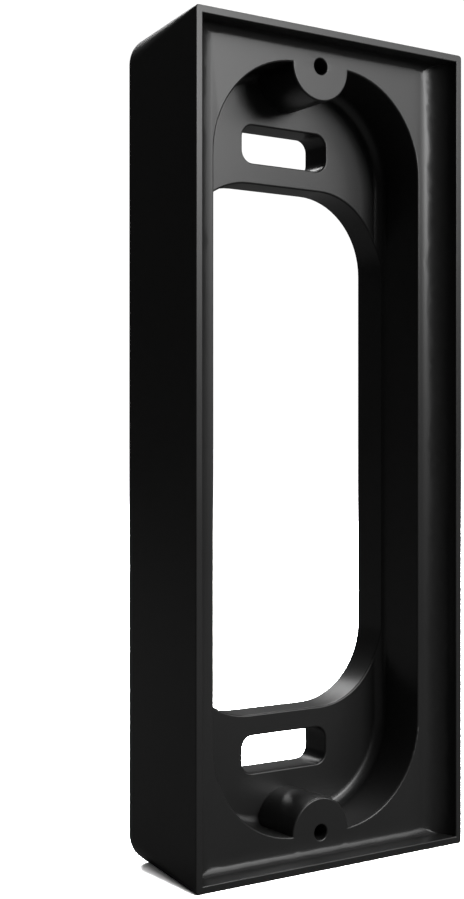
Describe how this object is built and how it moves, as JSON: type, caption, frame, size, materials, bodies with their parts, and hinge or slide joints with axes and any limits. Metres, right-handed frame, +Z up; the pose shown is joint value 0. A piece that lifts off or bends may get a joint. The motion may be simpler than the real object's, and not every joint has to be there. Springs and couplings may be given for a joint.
{
  "type": "doorbell mounting frame",
  "caption": "Upright rectangular wall frame for a slim video doorbell: open shallow recess, deeper round-cornered pocket, large window, wall-screw slots and screw bosses.",
  "frame": {"origin": "centre of the bottom end, halfway through the depth", "axes": "+Z up along the frame's length, +X across its width, -Y out of the open front, +Y towards the wall"},
  "size_m": [0.0514, 0.0194, 0.128],
  "materials": {
    "black_plastic": "satin black moulded plastic"
  },
  "bodies": {
    "root": {"mounting_frame": "black_plastic"}
  },
  "joints": []
}
